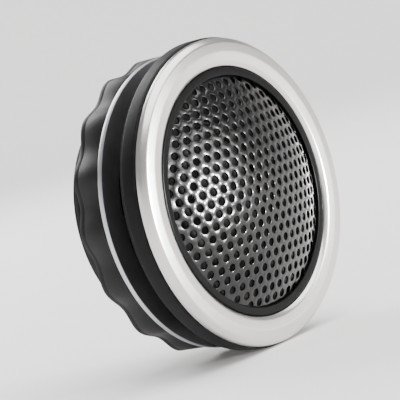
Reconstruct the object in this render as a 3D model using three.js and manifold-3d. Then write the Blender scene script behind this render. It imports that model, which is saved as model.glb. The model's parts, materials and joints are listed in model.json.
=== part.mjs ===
// A flush-mount car tweeter: a 25 mm soft-dome tweeter in a threaded mounting cup, behind a domed
// steel grille and a satin trim ring. Millimetres, +Z up. The tweeter faces -Y. The origin is on its
// axis, in the plane where the flange gasket meets the front of the panel that the tweeter sits in.

import * as THREE from "three";
import { mergeVertices } from "three/addons/utils/BufferGeometryUtils.js";
import Module from "manifold-3d";

const wasm = await Module();
wasm.setup();

// ---- Driving dimensions ----
// A name that ends in _R is a radius. FRONT and BACK are places along Y, and front is towards -Y.

const GAP = 0.05; // room between pieces that touch

const FLANGE_R = 35;
const FLANGE_FRONT = -4.8;
const FLANGE_BACK = -1.2; // the gasket fills the space from here to the panel at y = 0
const GASKET_INNER_R = 28;
const GASKET_OUTER_R = 34.2;
const NECK_BORE_R = 25.2;
const NECK_ROOT_R = 26.6; // the neck between its threads
const NECK_CREST_R = 27.4; // the neck's thread, which passes a 56 mm panel cut-out
const NECK_END = 19;

const TRIM_INNER_R = 28;
const TRIM_OUTER_R = 34.6;
const TRIM_SHOULDER = -5.6; // where the trim ring's outer wall starts to round over
const TRIM_LIP = -6.3; // where its inner wall does
const TRIM_FACE_OUTER = [33.4, -7.1]; // [radius, y] where its crowned face ends outside
const TRIM_FACE_INNER = [29.4, -7.35]; // and inside
const TRIM_CROWN = [31.8, -7.6]; // and where those ends' tangents meet
const TONGUE_R = 32; // middle of the tongue that presses the trim ring into the flange
const TONGUE_WIDTH = 0.6;
const TONGUE_DEPTH = 0.9;

const GRILLE_R = 26.6; // where the dome of the grille meets its flat rim
const GRILLE_RIM_R = 27.4;
const GRILLE_RIM = -5.6;
const GRILLE_RISE = 6.5;
const GRILLE_SHEET = 0.52;
const BEZEL_INNER_R = 26;
const BEZEL_OUTER_R = 27.85;
const BEZEL_FOOT_R = 29.2;
const BEZEL_FRONT = -6.6;
const BEZEL_LIP_BACK = -6.05; // the lip's inner edge stands just clear of the grille's dome
const BEZEL_BACK = -3.8;
const BEZEL_ROUND = 0.3;
const RETAINER_INNER_R = 25.8;
const RETAINER_FRONT = -5;
const RETAINER_BACK = -3.9;

const PLATE_R = 28.1; // the driver's face plate, which sits in a step in the flange
const PLATE_FRONT = -3.7;
const PLATE_BACK = -2.45;
const SKIRT_OUTER_R = 24.9; // the plate's skirt centres the driver in the neck
const SKIRT_INNER_R = 21.6;
const SKIRT_END = 2.4;
const THROAT_R = 16.7; // the narrow end of the waveguide round the dome
const THROAT_FRONT = 0.1;
const THROAT_BACK = 0.6;
const MOUTH_R = 25.6;
const BOSS_R = 1.6;
const BOSS_END = 8;
const PILOT_R = 1.05;
const PILOT_FRONT = 3.6;

const THREAD_PITCH = 4;
const THREAD_BASE = 1.9; // axial width of a thread at its root
const THREAD_TIP = 1.1; // and at its crest
const THREAD_START = 1.6; // y of the neck's thread where it crosses +Z
const THREAD_ROOTED = 0.4; // how far a thread reaches into the wall that it stands on
const NECK_TURNS = [0, 4];
const LOCK_RING_TURNS = [1.25, 2.375];
const KEYWAY_WIDTH = 5;
const KEYWAY_FLOOR_R = 26.1;
const KEYWAY_FRONT = 0.3;

const PANEL_GAP = 6; // room between the gasket and the thrust washer as stored
const WASHER_INNER_R = 27.75;
const WASHER_OUTER_R = 33.4;
const WASHER_THICK = 1.2;
const LOCK_RING_HEIGHT = 7;
const LOCK_RING_BORE_R = 27.8;
const LOCK_RING_TIP_R = 27;
const LOCK_RING_GRIP_R = 32.8; // mean radius of its scalloped outside
const SCALLOPS = 16;
const SCALLOP_DEPTH = 0.7; // either side of the mean radius

const DOME_R = 12.9;
const DOME_RIM = 0.7;
const DOME_RISE = 5.6;
const DOME_SKIN = 0.3;
const ROLL_R = 14.75; // centre line of the surround's half roll
const ROLL_HALF = 1.75;
const ROLL_RISE = 1.6;
const SURROUND_SKIN = 0.28;
const SURROUND_EDGE_R = 18.2;
const COIL_R = 12.8; // inner radius of the voice coil's winding
const COIL_WALL = 0.35;
const COIL_FRONT = 5;
const COIL_BACK = 7.4;
const FORMER_WALL = 0.2;
const FORMER_BACK = 7.5;

const DIAPHRAGM_RING_R = 21.2;
const DIAPHRAGM_RING_FRONT = 1.05;
const DIAPHRAGM_RING_BACK = 3;
const LEAD_GROOVE_FRONT = 2.2;
const LEAD_GROOVE_END_R = 18.6;
const LEAD_R = 0.25;
const TAG_END_R = 21;
const TAG_THICK = 0.4;
const WIRE_R = 0.6;

const VENT_R = 2.2; // the vent through the pole plate, the magnet and the pot
const POLE_R = 11.9;
const POLE_FRONT = 4.6;
const POLE_BACK = 7.6;
const COPPER_WALL = 0.25;
const COPPER_BORE_R = 2.6;
const MAGNET_R = 11.4;
const POT_R = 17.8;
const POT_GAP_R = 13.4; // the pot's lip, outside the voice coil
const POT_GAP_BACK = 7.6;
const POT_INNER_R = 14.8;
const POT_FRONT = 3.05;
const POT_FLOOR = 12.2;
const POT_BACK = 15;
const POT_CHAMFER = 0.8;
const POLE_FELT = [3, 11]; // its inner and outer radius
const CHAMBER_FELT_R = 12;

const CAP_FRONT = 18.2;
const CAP_BACK = 21.2;
const CAP_PLUG_R = 25; // the part of the rear cap inside the neck
const CAP_R = 26.5;
const CAP_CHAMFER = 0.6;
const SEAL_R = 26.4;
const SEAL_THICK = 0.35;
const CASE_SCREW_R = 23; // three long screws on this radius hold the case together
const CASE_SCREW_COUNT = 3;
const SCREW_SEAT = 19.9; // the floor of a case screw's counterbore in the cap
const SCREW_HEAD_R = 1.8;
const SCREW_HEAD_HEIGHT = 1.2;
const SCREW_SHANK_R = 0.85;
const SCREW_LENGTH = 15.8;
const RECESS_REACH = 1.2; // half the length of each slot of the screw's cross recess
const RECESS_WIDTH = 0.6;
const RECESS_DEPTH = 0.7;

const TERMINAL_X = 5.5;
const TERMINAL_Z = -14;
const TERMINAL_FRONT = 17;
const TERMINAL_TIP = 32;
const TERMINAL_THICK = 0.8;
const TERMINAL_CHAMFER = 0.8;
const TERMINAL_HOLE_R = 0.7;
const TERMINAL_HOLE_FROM_TIP = 3;
const BLOCK_SIZE = [22, 9.5];
const BLOCK_CORNER_R = 1.5;
const BLOCK_BACK = 24.75;

const FINE = 32; // facets round the outer pieces
const COARSE = 24; // facets round the inner pieces
const SMALL = 8; // facets round screws, bosses and holes
const WIRE_SIDES = 6;

// ---- Materials ----

const finish = (color, roughness, metalness) =>
  new THREE.MeshStandardMaterial({ color, roughness, metalness });

const materials = {
  satinSilver: finish(0xc9c7c2, 0.35, 0.9),
  blackSteel: finish(0x1d1c1b, 0.4, 0.3),
  blackPlastic: finish(0x1a1a1b, 0.55, 0),
  foam: finish(0x2a2a2c, 0.95, 0),
  silk: finish(0x2b2724, 0.8, 0),
  aluminium: finish(0xb8babd, 0.4, 1),
  copper: finish(0xb8683a, 0.35, 1),
  brass: finish(0xc9a24a, 0.3, 1),
  steel: finish(0x8d8f92, 0.4, 1),
  nickel: finish(0xc3c2bd, 0.2, 1),
  felt: finish(0x8b8a84, 1, 0),
  blackScrew: finish(0x222223, 0.4, 0.8),
  redWire: finish(0x9c1f1b, 0.5, 0),
  blackWire: finish(0x161617, 0.5, 0),
  rubber: finish(0x18191a, 0.8, 0),
};

// ---- Solids ----

// A closed geometry as a manifold-3d solid.
function solid(geometry) {
  const bare = geometry.index ? geometry.toNonIndexed() : geometry.clone();
  for (const name of Object.keys(bare.attributes)) {
    if (name !== "position") bare.deleteAttribute(name);
  }
  const merged = mergeVertices(bare, 1e-4);
  const corners = merged.index.array;
  const kept = [];
  for (let i = 0; i < corners.length; i += 3) {
    const [a, b, c] = corners.slice(i, i + 3);
    if (a !== b && b !== c && c !== a) kept.push(a, b, c);
  }
  return new wasm.Manifold(
    new wasm.Mesh({
      numProp: 3,
      vertProperties: merged.attributes.position.array,
      triVerts: new Uint32Array(kept),
    }),
  );
}

// A manifold-3d solid as a geometry.
function geometryOf(shape) {
  const mesh = shape.getMesh();
  const geometry = new THREE.BufferGeometry();
  geometry.setAttribute("position", new THREE.BufferAttribute(mesh.vertProperties, mesh.numProp));
  geometry.setIndex(new THREE.BufferAttribute(mesh.triVerts, 1));
  geometry.computeVertexNormals();
  return geometry;
}

const subtractAll = (from, cutters) => cutters.reduce((left, cutter) => left.subtract(cutter), from);
const addAll = (to, others) => others.reduce((sum, other) => sum.add(other), to);

// A path of [radius, y] corners and curves, turned round the Y axis. A path that doesn't start on
// the axis is closed on itself.
function turned(path, facets, divisions = 4) {
  const points = path.getPoints(divisions);
  const onAxis = points[0].x < 1e-6;
  if (THREE.ShapeUtils.area(points) < 0) points.reverse();
  if (!onAxis && points[0].distanceTo(points.at(-1)) > 1e-6) points.push(points[0].clone());
  return new THREE.LatheGeometry(points, facets);
}

// A path through plain corners.
function corners(...pairs) {
  return new THREE.Path(pairs.map(([r, y]) => new THREE.Vector2(r, y)));
}

const ring = (inner, outer, front, back, facets) =>
  turned(corners([inner, front], [outer, front], [outer, back], [inner, back]), facets);

const disc = (radius, front, back, facets) =>
  turned(corners([0, front], [radius, front], [radius, back], [0, back]), facets);

// A plain box from its lowest to its highest corner.
function box(low, high) {
  const size = high.map((value, i) => value - low[i]);
  const centre = high.map((value, i) => (value + low[i]) / 2);
  return new THREE.BoxGeometry(...size).translate(...centre);
}

// A box on the +X side for side 1, and its mirror image on the -X side for side -1.
function sideBox(side, [nearX, ...low], [farX, ...high]) {
  const [lowX, highX] = side > 0 ? [nearX, farX] : [-farX, -nearX];
  return box([lowX, ...low], [highX, ...high]);
}

const boxPair = (low, high) => [1, -1].map((side) => solid(sideBox(side, low, high)));

// count places spread evenly on a circle round the Y axis, from the angle first, where 0 is +X and
// a quarter turn is +Z.
function around(radius, count, first) {
  return Array.from({ length: count }, (_, i) => {
    const angle = first + (i * 2 * Math.PI) / count;
    return new THREE.Vector3(radius * Math.cos(angle), 0, radius * Math.sin(angle));
  });
}

const caseScrewPlaces = () => around(CASE_SCREW_R, CASE_SCREW_COUNT, Math.PI / 2);

// Solid copies of a geometry on the Y axis, moved to the case screws.
const atCaseScrews = (geometry) =>
  caseScrewPlaces().map((place) => solid(geometry.clone().translate(...place.toArray())));

// A bar bent into a right-hand helix round the Y axis, with its own axial width at its inner and its
// outer radius. Angles are in turns from +Z, where the bar's middle is at y.
function helix({ inner, outer, innerWidth, outerWidth, y, turns: [firstTurn, lastTurn] }) {
  const steps = Math.round((lastTurn - firstTurn) * FINE);
  const bar = new THREE.BoxGeometry(1, 1, 1, steps, 1, 1);
  const place = bar.attributes.position;
  for (let i = 0; i < place.count; i++) {
    const turn = THREE.MathUtils.lerp(firstTurn, lastTurn, place.getX(i) + 0.5);
    const outward = place.getZ(i) + 0.5;
    const radius = THREE.MathUtils.lerp(inner, outer, outward);
    const width = THREE.MathUtils.lerp(innerWidth, outerWidth, outward);
    const angle = 2 * Math.PI * turn;
    const axial = y + THREAD_PITCH * turn + place.getY(i) * width;
    place.setXYZ(i, radius * Math.sin(angle), axial, radius * Math.cos(angle));
  }
  return bar;
}

// A wire along smooth points, on the +X side for side 1 and mirrored for side -1.
function wire(side, points, radius, steps) {
  const section = new THREE.Shape(
    around(radius, WIRE_SIDES, 0).map((place) => new THREE.Vector2(place.x, place.z)),
  );
  const route = points.map(([x, y, z]) => new THREE.Vector3(side * x, y, z));
  const extrudePath = new THREE.CatmullRomCurve3(route);
  return new THREE.ExtrudeGeometry(section, { steps, extrudePath, bevelEnabled: false });
}

// ---- Front: trim ring, grille and what holds them ----

function trimRing() {
  const seat = FLANGE_FRONT - GAP;
  const section = new THREE.Path()
    .moveTo(TRIM_INNER_R, seat)
    .lineTo(TONGUE_R - TONGUE_WIDTH / 2, seat)
    .lineTo(TONGUE_R - TONGUE_WIDTH / 2, FLANGE_FRONT + TONGUE_DEPTH)
    .lineTo(TONGUE_R + TONGUE_WIDTH / 2, FLANGE_FRONT + TONGUE_DEPTH)
    .lineTo(TONGUE_R + TONGUE_WIDTH / 2, seat)
    .lineTo(TRIM_OUTER_R, seat)
    .lineTo(TRIM_OUTER_R, TRIM_SHOULDER)
    .quadraticCurveTo(TRIM_OUTER_R, TRIM_SHOULDER - 1.1, ...TRIM_FACE_OUTER)
    .quadraticCurveTo(...TRIM_CROWN, ...TRIM_FACE_INNER)
    .quadraticCurveTo(TRIM_INNER_R, TRIM_LIP - 0.9, TRIM_INNER_R, TRIM_LIP);
  return turned(section, FINE, 3);
}

function grilleMesh() {
  const sphere = (GRILLE_R ** 2 + GRILLE_RISE ** 2) / (2 * GRILLE_RISE);
  const centre = GRILLE_RIM - GRILLE_RISE + sphere;
  const edge = Math.asin(GRILLE_R / sphere);
  const top = -Math.PI / 2;
  const inner = sphere - GRILLE_SHEET;
  const innerEdge = Math.acos((centre - GRILLE_RIM - GRILLE_SHEET) / inner);
  const section = new THREE.Path()
    .absarc(0, centre, sphere, top, top + edge, false)
    .lineTo(GRILLE_RIM_R, GRILLE_RIM)
    .lineTo(GRILLE_RIM_R, GRILLE_RIM + GRILLE_SHEET)
    .absarc(0, centre, inner, top + innerEdge, top, true);
  return turned(section, FINE, 3);
}

// The bezel wraps the grille's rim, and its foot is held under the trim ring.
function grilleBezel() {
  const bore = GRILLE_RIM_R + 0.08;
  const round = BEZEL_FRONT + BEZEL_ROUND;
  const section = new THREE.Path()
    .moveTo(BEZEL_INNER_R, BEZEL_LIP_BACK)
    .lineTo(BEZEL_INNER_R, round)
    .quadraticCurveTo(BEZEL_INNER_R, BEZEL_FRONT, BEZEL_INNER_R + BEZEL_ROUND, BEZEL_FRONT)
    .lineTo(BEZEL_OUTER_R - BEZEL_ROUND, BEZEL_FRONT)
    .quadraticCurveTo(BEZEL_OUTER_R, BEZEL_FRONT, BEZEL_OUTER_R, round)
    .lineTo(BEZEL_OUTER_R, FLANGE_FRONT + 0.02)
    .lineTo(BEZEL_FOOT_R, FLANGE_FRONT + 0.02)
    .lineTo(BEZEL_FOOT_R, BEZEL_BACK)
    .lineTo(bore, BEZEL_BACK)
    .lineTo(bore, GRILLE_RIM - 2 * GAP);
  return turned(section, FINE, 2);
}

const grilleRetainer = () =>
  ring(RETAINER_INNER_R, GRILLE_RIM_R - 2 * GAP, RETAINER_FRONT, RETAINER_BACK, FINE);

// The driver's front plate, with a waveguide, a skirt and three bosses for the case screws.
function facePlate() {
  const section = new THREE.Path()
    .moveTo(PLATE_R, PLATE_FRONT)
    .lineTo(PLATE_R, PLATE_BACK)
    .lineTo(SKIRT_OUTER_R, PLATE_BACK)
    .lineTo(SKIRT_OUTER_R, SKIRT_END)
    .lineTo(SKIRT_INNER_R, SKIRT_END)
    .lineTo(SKIRT_INNER_R, THROAT_BACK)
    .lineTo(THROAT_R, THROAT_BACK)
    .lineTo(THROAT_R, THROAT_FRONT)
    .bezierCurveTo(THROAT_R + 2.2, -1.7, MOUTH_R - 3, PLATE_FRONT, MOUTH_R, PLATE_FRONT);
  const boss = disc(BOSS_R, SKIRT_END - 0.4, BOSS_END, SMALL);
  const pilot = disc(PILOT_R, PILOT_FRONT, BOSS_END + 1, SMALL);
  const bosses = atCaseScrews(boss);
  const pilots = atCaseScrews(pilot);
  return geometryOf(subtractAll(addAll(solid(turned(section, COARSE, 6)), bosses), pilots));
}

// ---- Mounting: cup, gasket, thrust washer and lock ring ----

function mountingCup() {
  const corner = 0.5;
  const groove = TONGUE_WIDTH / 2 + 0.2;
  const grooveFloor = FLANGE_FRONT + TONGUE_DEPTH + 0.2;
  const section = new THREE.Path()
    .moveTo(FLANGE_R, FLANGE_BACK)
    .lineTo(FLANGE_R, FLANGE_FRONT + corner)
    .quadraticCurveTo(FLANGE_R, FLANGE_FRONT, FLANGE_R - corner, FLANGE_FRONT)
    .lineTo(TONGUE_R + groove, FLANGE_FRONT)
    .lineTo(TONGUE_R + groove, grooveFloor)
    .lineTo(TONGUE_R - groove, grooveFloor)
    .lineTo(TONGUE_R - groove, FLANGE_FRONT)
    .lineTo(BEZEL_FOOT_R + 0.2, FLANGE_FRONT)
    .lineTo(BEZEL_FOOT_R + 0.2, BEZEL_BACK + GAP)
    .lineTo(PLATE_R + 0.2, BEZEL_BACK + GAP)
    .lineTo(PLATE_R + 0.2, PLATE_BACK + GAP)
    .lineTo(NECK_BORE_R, PLATE_BACK + GAP)
    .lineTo(NECK_BORE_R, NECK_END)
    .lineTo(NECK_ROOT_R, NECK_END)
    .lineTo(NECK_ROOT_R, FLANGE_BACK);
  const thread = helix({
    inner: NECK_ROOT_R - THREAD_ROOTED,
    outer: NECK_CREST_R,
    innerWidth: THREAD_BASE,
    outerWidth: THREAD_TIP,
    y: THREAD_START,
    turns: NECK_TURNS,
  });
  const half = KEYWAY_WIDTH / 2;
  const keyways = boxPair([KEYWAY_FLOOR_R, KEYWAY_FRONT, -half], [FLANGE_R, NECK_END + 1, half]);
  return geometryOf(subtractAll(solid(turned(section, FINE, 2)).add(solid(thread)), keyways));
}

const flangeGasket = () => ring(GASKET_INNER_R, GASKET_OUTER_R, FLANGE_BACK + GAP, 0, FINE);

// Two tabs inside the washer slide in the neck's keyways, so that it doesn't turn with the ring.
function thrustWasher() {
  const back = PANEL_GAP + WASHER_THICK;
  const half = KEYWAY_WIDTH / 2 - 0.4;
  const tabs = boxPair([KEYWAY_FLOOR_R + 0.3, PANEL_GAP, -half], [WASHER_INNER_R + 2, back, half]);
  return geometryOf(addAll(solid(ring(WASHER_INNER_R, WASHER_OUTER_R, PANEL_GAP, back, FINE)), tabs));
}

function lockRing() {
  const count = SCALLOPS * 4;
  const outline = new THREE.Shape(
    Array.from({ length: count }, (_, i) => {
      const angle = (i * 2 * Math.PI) / count;
      const radius = LOCK_RING_GRIP_R + SCALLOP_DEPTH * Math.cos(SCALLOPS * angle);
      return new THREE.Vector2(radius * Math.cos(angle), radius * Math.sin(angle));
    }),
  );
  const bore = around(LOCK_RING_BORE_R, FINE, 0).map((place) => new THREE.Vector2(place.x, place.z));
  outline.holes.push(new THREE.Path(bore));
  const body = new THREE.ExtrudeGeometry(outline, { depth: LOCK_RING_HEIGHT, bevelEnabled: false });
  body.rotateX(-Math.PI / 2).translate(0, PANEL_GAP + WASHER_THICK + 2 * GAP, 0);
  const thread = helix({
    inner: LOCK_RING_TIP_R,
    outer: LOCK_RING_BORE_R + THREAD_ROOTED,
    innerWidth: THREAD_TIP,
    outerWidth: THREAD_BASE,
    y: THREAD_START + THREAD_PITCH / 2,
    turns: LOCK_RING_TURNS,
  });
  return geometryOf(solid(body).add(solid(thread)));
}

// ---- Moving assembly: dome, surround and voice coil ----

function dome() {
  const sphere = (DOME_R ** 2 + DOME_RISE ** 2) / (2 * DOME_RISE);
  const centre = DOME_RIM - DOME_RISE + sphere;
  const top = -Math.PI / 2;
  const edge = Math.asin(DOME_R / sphere);
  const inner = sphere - DOME_SKIN;
  const section = new THREE.Path()
    .absarc(0, centre, sphere, top, top + edge, false)
    .absarc(0, centre, inner, top + Math.acos((centre - DOME_RIM) / inner), top, true);
  return turned(section, COARSE, 2);
}

function surround() {
  const half = ROLL_HALF - 0.25;
  const rise = ROLL_RISE - 0.25;
  const back = DOME_RIM + SURROUND_SKIN;
  const section = new THREE.Path()
    .absellipse(ROLL_R, DOME_RIM, ROLL_HALF, ROLL_RISE, Math.PI, 2 * Math.PI, false, 0)
    .lineTo(SURROUND_EDGE_R, DOME_RIM)
    .lineTo(SURROUND_EDGE_R, back)
    .lineTo(ROLL_R + half, back)
    .absellipse(ROLL_R, DOME_RIM, half, rise, 2 * Math.PI, Math.PI, true, 0);
  return turned(section, COARSE, 2);
}

function coilFormer() {
  const outer = COIL_R - GAP;
  return ring(outer - FORMER_WALL, outer, DOME_RIM + 2 * GAP, FORMER_BACK, COARSE);
}

const voiceCoil = () => ring(COIL_R, COIL_R + COIL_WALL, COIL_FRONT, COIL_BACK, COARSE);

// A fine braided lead from the coil to a groove in the diaphragm ring.
function tinselLead(side) {
  const route = [
    [13.1, 1.55, 0],
    [14.2, 1.9, 0],
    [15.4, 2.15, 0],
    [16.7, 2.52, 0],
    [18.2, 2.6, 0],
  ];
  return wire(side, route, LEAD_R, 8);
}

// ---- Diaphragm ring and its wiring ----

function diaphragmRing() {
  const half = 0.7;
  const inside = [THROAT_R - half, LEAD_GROOVE_FRONT, -half];
  const grooves = boxPair(inside, [LEAD_GROOVE_END_R, DIAPHRAGM_RING_BACK + 0.2, half]);
  const body = ring(THROAT_R, DIAPHRAGM_RING_R, DIAPHRAGM_RING_FRONT, DIAPHRAGM_RING_BACK, COARSE);
  return geometryOf(subtractAll(solid(body), grooves));
}

const diaphragmGasket = () =>
  ring(SURROUND_EDGE_R + 0.2, DIAPHRAGM_RING_R, THROAT_BACK + 0.06, DIAPHRAGM_RING_FRONT - GAP, COARSE);

function solderTag(side) {
  const front = DIAPHRAGM_RING_BACK + 0.06;
  const half = 1.3;
  return sideBox(side, [18.5, front, -half], [TAG_END_R, front + TAG_THICK, half]);
}

// An insulated wire from a solder tag, round the pot, to the front of a terminal.
function hookupWire(side) {
  const route = [
    [20, 3.6, 0],
    [20.3, 6.5, -0.2],
    [20.5, 10, -1],
    [20.1, 13.6, -2.6],
    [17.6, 16, -5.6],
    [12.5, 16.2, -10],
    [8, 16.25, -13.2],
    [TERMINAL_X, 16.25, TERMINAL_Z],
  ];
  return wire(side, route, WIRE_R, 16);
}

// ---- Motor: pole plate, copper cap, magnet, pot and felts ----

const polePlate = () => ring(VENT_R, POLE_R, POLE_FRONT, POLE_BACK, COARSE);

// A thin cup over the pole plate.
function copperCap() {
  const outer = POLE_R + 0.3;
  const inner = outer - 0.2;
  const front = POLE_FRONT - 0.3;
  const back = POLE_BACK - 2 * GAP;
  const underside = front + COPPER_WALL;
  const section = corners(
    [COPPER_BORE_R, front],
    [outer, front],
    [outer, back],
    [inner, back],
    [inner, underside],
    [COPPER_BORE_R, underside],
  );
  return turned(section, COARSE);
}

const magnet = () => ring(VENT_R, MAGNET_R, POLE_BACK + GAP, POT_FLOOR - GAP, COARSE);

function yokePot() {
  const section = corners(
    [POT_GAP_R, POT_FRONT],
    [POT_R, POT_FRONT],
    [POT_R, POT_BACK - POT_CHAMFER],
    [POT_R - POT_CHAMFER, POT_BACK],
    [VENT_R, POT_BACK],
    [VENT_R, POT_FLOOR],
    [POT_INNER_R, POT_FLOOR],
    [POT_INNER_R, POT_GAP_BACK + 0.6],
    [POT_GAP_R, POT_GAP_BACK],
  );
  return turned(section, COARSE);
}

const poleFelt = () => ring(...POLE_FELT, POLE_FRONT - 1.8, POLE_FRONT - 0.4, COARSE);
const chamberFelt = () => disc(CHAMBER_FELT_R, POT_BACK + 0.3, CAP_FRONT - 0.6, COARSE);

// ---- Back: cap, seal, terminals and case screws ----

const TERMINALS = [
  { name: "positive", side: 1, width: 4.75 },
  { name: "negative", side: -1, width: 2.8 },
];

// The slot that a terminal's blade goes through, from front to back.
function terminalSlot({ side, width }, front, back) {
  const thick = TERMINAL_THICK / 2 + 0.2;
  const wide = width / 2 + 0.25;
  const x = side * TERMINAL_X;
  return solid(box([x - thick, front, TERMINAL_Z - wide], [x + thick, back, TERMINAL_Z + wide]));
}

function rearCap() {
  const lip = NECK_END + 0.45;
  const section = corners(
    [0, CAP_FRONT],
    [CAP_PLUG_R, CAP_FRONT],
    [CAP_PLUG_R, lip],
    [CAP_R, lip],
    [CAP_R, CAP_BACK - CAP_CHAMFER],
    [CAP_R - CAP_CHAMFER, CAP_BACK],
    [0, CAP_BACK],
  );
  const front = CAP_FRONT - 1;
  const back = CAP_BACK + 1;
  const hole = corners(
    [0, front],
    [SCREW_SHANK_R + 0.25, front],
    [SCREW_SHANK_R + 0.25, SCREW_SEAT],
    [SCREW_HEAD_R + 0.3, SCREW_SEAT],
    [SCREW_HEAD_R + 0.3, back],
    [0, back],
  );
  const holes = atCaseScrews(turned(hole, SMALL));
  const slots = TERMINALS.map((terminal) => terminalSlot(terminal, front, back));
  return geometryOf(subtractAll(solid(turned(section, FINE)), [...holes, ...slots]));
}

const capSeal = () =>
  ring(NECK_BORE_R + 2 * GAP, SEAL_R, NECK_END + GAP, NECK_END + GAP + SEAL_THICK, FINE);

// A rectangle with rounded corners, centred on the origin.
function roundedRectangle(width, height, radius) {
  const x = width / 2 - radius;
  const y = height / 2 - radius;
  return new THREE.Shape()
    .absarc(x, y, radius, 0, Math.PI / 2, false)
    .absarc(-x, y, radius, Math.PI / 2, Math.PI, false)
    .absarc(-x, -y, radius, Math.PI, 1.5 * Math.PI, false)
    .absarc(x, -y, radius, 1.5 * Math.PI, 2 * Math.PI, false);
}

function terminalBlock() {
  const front = CAP_BACK + GAP;
  const body = new THREE.ExtrudeGeometry(roundedRectangle(...BLOCK_SIZE, BLOCK_CORNER_R), {
    depth: BLOCK_BACK - front,
    bevelEnabled: false,
    curveSegments: 3,
  });
  body.rotateX(-Math.PI / 2).translate(0, front, TERMINAL_Z);
  const slots = TERMINALS.map((terminal) => terminalSlot(terminal, front - 1, BLOCK_BACK + 1));
  return geometryOf(subtractAll(solid(body), slots));
}

// A push-on blade with a chamfered tip and a small locating hole.
function terminal({ width }) {
  const half = width / 2;
  const length = TERMINAL_TIP - TERMINAL_FRONT;
  const shoulder = length - TERMINAL_CHAMFER;
  const tip = half - TERMINAL_CHAMFER;
  const outline = new THREE.Shape()
    .moveTo(-half, 0)
    .lineTo(half, 0)
    .lineTo(half, shoulder)
    .lineTo(tip, length)
    .lineTo(-tip, length)
    .lineTo(-half, shoulder);
  const hole = length - TERMINAL_HOLE_FROM_TIP;
  outline.holes.push(new THREE.Path().absarc(0, hole, TERMINAL_HOLE_R, 0, 2 * Math.PI, true));
  const blade = new THREE.ExtrudeGeometry(outline, {
    depth: TERMINAL_THICK,
    bevelEnabled: false,
    curveSegments: 8,
  });
  return blade.translate(0, 0, -TERMINAL_THICK / 2).rotateY(Math.PI / 2);
}

// Drawn with its head's seat at y = 0 and its head towards -Y. It is turned round when it is placed.
function caseScrew() {
  const top = -GAP - SCREW_HEAD_HEIGHT;
  const section = new THREE.Path()
    .moveTo(0, top)
    .lineTo(RECESS_REACH, top)
    .quadraticCurveTo(SCREW_HEAD_R, top, SCREW_HEAD_R, -0.4)
    .lineTo(SCREW_HEAD_R, -GAP)
    .lineTo(SCREW_SHANK_R, -GAP)
    .lineTo(SCREW_SHANK_R, SCREW_LENGTH - 0.8)
    .lineTo(0, SCREW_LENGTH);
  const reach = RECESS_REACH;
  const half = RECESS_WIDTH / 2;
  const recess = [
    box([-reach, top - 1, -half], [reach, top + RECESS_DEPTH, half]),
    box([-half, top - 1, -reach], [half, top + RECESS_DEPTH, reach]),
  ];
  return geometryOf(subtractAll(solid(turned(section, SMALL)), recess.map(solid)));
}

// ---- Assembly ----

const tweeter = new THREE.Group();

function add(name, geometry, material, place = [0, 0, 0], turnX = 0) {
  const mesh = new THREE.Mesh(geometry, material);
  mesh.name = name;
  mesh.position.set(...place);
  mesh.rotation.x = turnX;
  tweeter.add(mesh);
}

add("trim_ring", trimRing(), materials.satinSilver);
add("grille_mesh", grilleMesh(), materials.blackSteel);
add("grille_bezel", grilleBezel(), materials.blackPlastic);
add("grille_retainer", grilleRetainer(), materials.blackPlastic);
add("face_plate", facePlate(), materials.blackPlastic);

add("mounting_cup", mountingCup(), materials.blackPlastic);
add("flange_gasket", flangeGasket(), materials.foam);
add("thrust_washer", thrustWasher(), materials.steel);
add("lock_ring", lockRing(), materials.blackPlastic);

add("dome", dome(), materials.silk);
add("surround", surround(), materials.silk);
add("coil_former", coilFormer(), materials.aluminium);
add("voice_coil", voiceCoil(), materials.copper);

add("diaphragm_ring", diaphragmRing(), materials.blackPlastic);
add("diaphragm_gasket", diaphragmGasket(), materials.foam);
for (const { name, side } of TERMINALS) {
  add(`tinsel_lead_${name}`, tinselLead(side), materials.copper);
  add(`solder_tag_${name}`, solderTag(side), materials.brass);
}
add("hookup_wire_positive", hookupWire(1), materials.redWire);
add("hookup_wire_negative", hookupWire(-1), materials.blackWire);

add("pole_plate", polePlate(), materials.steel);
add("copper_cap", copperCap(), materials.copper);
add("magnet", magnet(), materials.nickel);
add("yoke_pot", yokePot(), materials.steel);
add("pole_felt", poleFelt(), materials.felt);
add("chamber_felt", chamberFelt(), materials.felt);

add("rear_cap", rearCap(), materials.blackPlastic);
add("cap_seal", capSeal(), materials.rubber);
add("terminal_block", terminalBlock(), materials.blackPlastic);
for (const blade of TERMINALS) {
  const place = [blade.side * TERMINAL_X, TERMINAL_FRONT, TERMINAL_Z];
  add(`terminal_${blade.name}`, terminal(blade), materials.brass, place);
}
caseScrewPlaces().forEach((place, i) => {
  add(`case_screw_${i + 1}`, caseScrew(), materials.blackScrew, [place.x, SCREW_SEAT, place.z], Math.PI);
});

export default tweeter;
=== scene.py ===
import json
from math import asin, cos, hypot, inf, pi, radians, sin, sqrt, tan

import bmesh
import bpy
from mathutils import Matrix, Vector
from mathutils.geometry import delaunay_2d_cdt


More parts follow.
